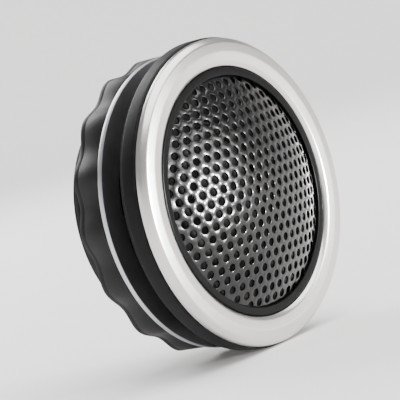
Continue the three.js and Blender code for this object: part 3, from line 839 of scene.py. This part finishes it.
def build_chamber_felt():
    near, far, r = front("chamber_felt"), back("chamber_felt"), outer("chamber_felt")
    corners = [(0, near, 0), (r, near), (r, far), (0, far, 0)]
    return turned("chamber_felt", corners, 0.5, "felt", SMALL_ROUND)


# The routes of the positive lead and wire. The negative ones mirror them in X.
LEAD_R = 0.24
LEAD_ROUTE = [(13.1, 1.55, 0), (14.2, 1.9, 0), (15.4, 2.15, 0), (16.7, 2.52, 0), (18.2, 2.6, 0)]
WIRE_R = 0.58
WIRE_ROUTE = [
    (20, 3.6, 0),
    (20.3, 6.5, -0.2),
    (20.5, 10, -1),
    (20.1, 13.6, -2.6),
    (17.6, 16, -5.6),
    (12.5, 16.2, -10),
    (8, 16.25, -13.2),
    (5.5, 16.25, -14),
]


def build_wire(node, side, route, radius, look):
    bm = bmesh.new()
    tube(bm, [(side * x, y, z) for x, y, z in route], radius)
    return finished(node, bm, look)


def build_solder_tag(node):
    half = half_size(node)
    bm = bmesh.new()
    tag = rectangle(middle(node), half.x, half.z, 0.3)
    sheet(bm, [tag], level(front(node)), level(back(node)), 0.06)
    return finished(node, bm, "tin")


# ---- Back ----


def blade_slot(name):
    """The loop of the slot that a terminal's blade goes through."""
    node = f"terminal_{name}"
    half = half_size(node)
    return rectangle(middle(node), half.x + 0.2, half.z + 0.25, clockwise=True)


def build_rear_cap():
    """A cap with a raised rim, radial ribs, and counterbores for the case screws."""
    floor = CAP_BACK - 0.6
    lip = NECK_END + 0.45
    head_r, boss_r, shank_r = 2.1, 2.75, 1.1
    rim_width, ribs, rib_start = 1.1, 24, 22.2
    slots = [blade_slot(name) for name in TERMINALS]
    places = [middle(screw) for screw in SCREWS]
    heads = [circle(head_r, 40, place, True) for place in places]
    shanks = [circle(shank_r, 24, place, True) for place in places]
    bm = bmesh.new()
    sheet(bm, [circle(CAP_R, ROUND), *heads, *slots], level(lip), level(floor), 0.1)
    rim = [circle(CAP_R, ROUND), circle(CAP_R - rim_width, ROUND, clockwise=True)]
    sheet(bm, rim, level(floor - 0.4), level(CAP_BACK), 0.35)
    plug = [circle(NECK_BORE_R - 0.2, ROUND), *shanks, *slots]
    sheet(bm, plug, level(CAP_FRONT), level(lip + 0.45), 0.15)
    for place, head in zip(places, heads):
        sheet(bm, [circle(boss_r, 48, place), head], level(lip + GAP), level(CAP_BACK - GAP), 0.2)
    for i in range(ribs):
        angle = 2 * pi * (i + 0.5) / ribs
        tip = Vector((cos(angle), sin(angle))) * places[0].length
        if min((tip - place).length for place in places) > boss_r + 1.5:
            rib(bm, angle, (rib_start, CAP_R - 0.9), (floor - 0.2, CAP_BACK - 0.15), 0.7)
    raised_marks(bm, floor)
    return finished("rear_cap", bm, "plastic")


def raised_marks(bm, floor):
    """A raised ring and pad, four ejector marks, and a plus and a minus over the terminals."""
    foot = level(floor - 0.2)
    centre = (0, 4)
    ring = [circle(16.5, INNER_ROUND, centre), circle(15.9, INNER_ROUND, centre, True)]
    sheet(bm, ring, foot, level(floor + 0.25), 0.12)
    sheet(bm, [circle(1.6, 48, centre)], foot, level(floor + 0.3), 0.12)
    for place in ((9, 10), (-9, 10), (9, -3), (-9, -3)):
        mark = [circle(1.5, 40, place), circle(1.32, 40, place, True)]
        sheet(bm, mark, foot, level(floor + 0.08), 0.03)
    above = Vector((0, 7))
    arm, half = 1.3, 0.35
    plus = cross(middle("terminal_positive") + above, arm, half)[::-1]
    minus = rectangle(middle("terminal_negative") + above, arm, half)
    for mark in (plus, minus):
        sheet(bm, [mark], foot, level(floor + 0.35), 0.1)


def build_terminal_block():
    """A block with a raised collar round each blade."""
    near, far = front("terminal_block"), back("terminal_block")
    half = half_size("terminal_block")
    shoulder = far - 0.5
    collar_half, margin = 1.7, 1.2
    slots = [blade_slot(name) for name in TERMINALS]
    bm = bmesh.new()
    body = rectangle(middle("terminal_block"), half.x, half.z, 1.5)
    sheet(bm, [body, *slots], level(near), level(shoulder), 0.3)
    for name, slot in zip(TERMINALS, slots):
        node = f"terminal_{name}"
        collar = rectangle(middle(node), collar_half, half_size(node).z + margin, 0.6)
        sheet(bm, [collar, slot], level(shoulder - 0.3), level(far), 0.15)
    return finished("terminal_block", bm, "block")


def build_terminal(node):
    """A stamped blade with a chamfered tip and a dimple hole. It is drawn flat, then stood on edge."""
    near, far = front(node), back(node)
    place = middle(node)
    half = half_size(node)
    chamfer, hole_from_tip, hole_r = 0.8, 3, 0.7
    shoulder, tip = far - chamfer, half.z - chamfer
    outline = [
        (near, -half.z),
        (shoulder, -half.z),
        (far, -tip),
        (far, tip),
        (shoulder, half.z),
        (near, half.z),
    ]
    loops = [rounded(outline, 0.15), circle(hole_r, 32, (far - hole_from_tip, 0), True)]
    bm = bmesh.new()
    sheet(bm, loops, level(-half.x), level(half.x), 0.12)
    for vertex in bm.verts:
        along, across, up = vertex.co
        vertex.co = (place.x + across, along, place.y + up)
    return finished(node, bm, "brass")


def build_case_screw(node):
    """A pan-head screw with a cross recess, seen from behind."""
    near, far = front(node), back(node)
    place = middle(node)
    head_r = half_size(node).x
    shank_r, point_r = 0.82, 0.45
    head_height, crown = 1.2, 0.45
    recess_arm, recess_half, recess_floor = 1.15, 0.28, 0.35
    seat = far - head_height

    def crowned(x, z):
        return far - crown * ((Vector((x, z)) - place).length / head_r) ** 2

    bm = bmesh.new()
    shank_end = seat + 0.1
    shank = [(0, near), (point_r, near + 0.1), (shank_r, near + 1), (shank_r, shank_end), (0, shank_end)]
    turn(bm, shank, 24)
    bmesh.ops.translate(bm, vec=(place.x, 0, place.y), verts=bm.verts)
    grid = circle(head_r * 0.75, 48, place) + circle(head_r * 0.9, 48, place)
    top = [circle(head_r, 48, place), cross(place, recess_arm, recess_half)]
    sheet(bm, top, level(seat + recess_floor - 0.1), crowned, 0.08, grid)
    sheet(bm, [circle(head_r - 0.02, 48, place)], level(seat), level(seat + recess_floor), 0.05)
    return finished(node, bm, "screw")


build_trim_ring()
build_grille_mesh()
build_bezel()
plain_ring("grille_retainer", 0.15, "plastic")
build_face_plate()
build_cup()
plain_ring("flange_gasket", 0.25, "foam", RIM_ROUND)
build_washer()
build_lock_ring()
build_dome()
build_surround()
plain_ring("coil_former", 0.03, "foil")
build_winding()
plain_ring("diaphragm_ring", 0.15, "plastic")
plain_ring("diaphragm_gasket", 0.08, "foam")
for terminal, sign in TERMINALS.items():
    build_wire(f"tinsel_lead_{terminal}", sign, LEAD_ROUTE, LEAD_R, "copper")
    build_solder_tag(f"solder_tag_{terminal}")
    insulation = "red" if terminal == "positive" else "black"
    build_wire(f"hookup_wire_{terminal}", sign, WIRE_ROUTE, WIRE_R, insulation)
    build_terminal(f"terminal_{terminal}")
plain_ring("pole_plate", 0.3, "steel")
build_copper_cap()
plain_ring("magnet", 0.35, "nickel")
build_pot()
plain_ring("pole_felt", 0.4, "felt", SMALL_ROUND)
build_chamber_felt()
build_rear_cap()
plain_ring("cap_seal", 0.1, "rubber")
build_terminal_block()
for screw in SCREWS:
    build_case_screw(screw)


# ---- Studio ----

VIEW_AZIMUTH = -50.5
VIEW_ELEVATION = 4
VIEW_ROLL = 15  # the camera's tilt
AIM = Vector((0, 7, 0)) * MM
DISTANCE = 0.5
LENS = 200


def direction(azimuth, elevation):
    """From the tweeter towards a place round it. Azimuth 0 is in front, and turns towards +X."""
    a, e = radians(azimuth), radians(elevation)
    return Vector((sin(a) * cos(e), -cos(a) * cos(e), sin(e)))


def facing(away):
    """The rotation of a camera or light that looks back along away."""
    return (-away).to_track_quat("-Z", "Y").to_matrix()


def add_camera():
    data = bpy.data.cameras.new("camera")
    data.lens = LENS
    data.clip_start = 0.01
    camera = bpy.data.objects.new("camera", data)
    bpy.context.scene.collection.objects.link(camera)
    away = direction(VIEW_AZIMUTH, VIEW_ELEVATION)
    camera.location = AIM + away * DISTANCE
    roll = Matrix.Rotation(radians(-VIEW_ROLL), 3, "Z")
    camera.rotation_euler = (facing(away) @ roll).to_euler()
    bpy.context.scene.camera = camera


def add_light(name, kind, azimuth, elevation, distance, energy):
    data = bpy.data.lights.new(name, kind)
    data.energy = energy
    light = bpy.data.objects.new(name, data)
    bpy.context.scene.collection.objects.link(light)
    away = direction(azimuth, elevation)
    light.location = away * distance
    light.rotation_euler = facing(away).to_euler()
    return data


def add_softbox(name, azimuth, elevation, distance, size, energy):
    data = add_light(name, "AREA", azimuth, elevation, distance, energy)
    data.shape = "DISK"
    data.size = size


def add_floor():
    """A round pale floor whose far edge sweeps up, so that no horizon shows."""
    flat, reach, rise = 1.4, 2.6, 0.9
    sides, steps = 96, 24
    outline = [(0, 0), (flat, 0)]
    for k in range(1, steps + 1):
        t = pi / 2 * k / steps
        outline.append((flat + (reach - flat) * sin(t), rise * (1 - cos(t))))
    bm = bmesh.new()
    rings = []
    for r, z in outline:
        count = sides if r else 1
        angles = [2 * pi * i / sides for i in range(count)]
        rings.append([bm.verts.new((r * cos(a), r * sin(a), z)) for a in angles])
    for inner, outer_ring in zip(rings, rings[1:]):
        join_rings(bm, inner, outer_ring)
    bmesh.ops.recalc_face_normals(bm, faces=bm.faces)
    mesh = bpy.data.meshes.new("floor")
    bm.to_mesh(mesh)
    bm.free()
    mesh.materials.append(surface("pale_floor", (0.86, 0.85, 0.84), 0.75, grain=3, mottle=0.01))
    floor = bpy.data.objects.new("floor", mesh)
    floor.location.z = -FLANGE_R * MM
    bpy.context.scene.collection.objects.link(floor)


def add_world():
    world = bpy.data.worlds.new("studio")
    world.use_nodes = True
    background = world.node_tree.nodes["Background"]
    background.inputs["Color"].default_value = (1, 0.99, 0.98, 1)
    background.inputs["Strength"].default_value = 0.45
    bpy.context.scene.world = world


add_camera()
add_softbox("key", 15, 1, distance=0.6, size=0.07, energy=9)
add_softbox("panel", 18, 6, distance=0.8, size=0.6, energy=4)
add_softbox("back", 165, 35, distance=0.9, size=0.6, energy=8)
overhead = add_light("overhead", "SUN", 30, 70, distance=2, energy=4.5)
overhead.angle = radians(70)
add_floor()
add_world()
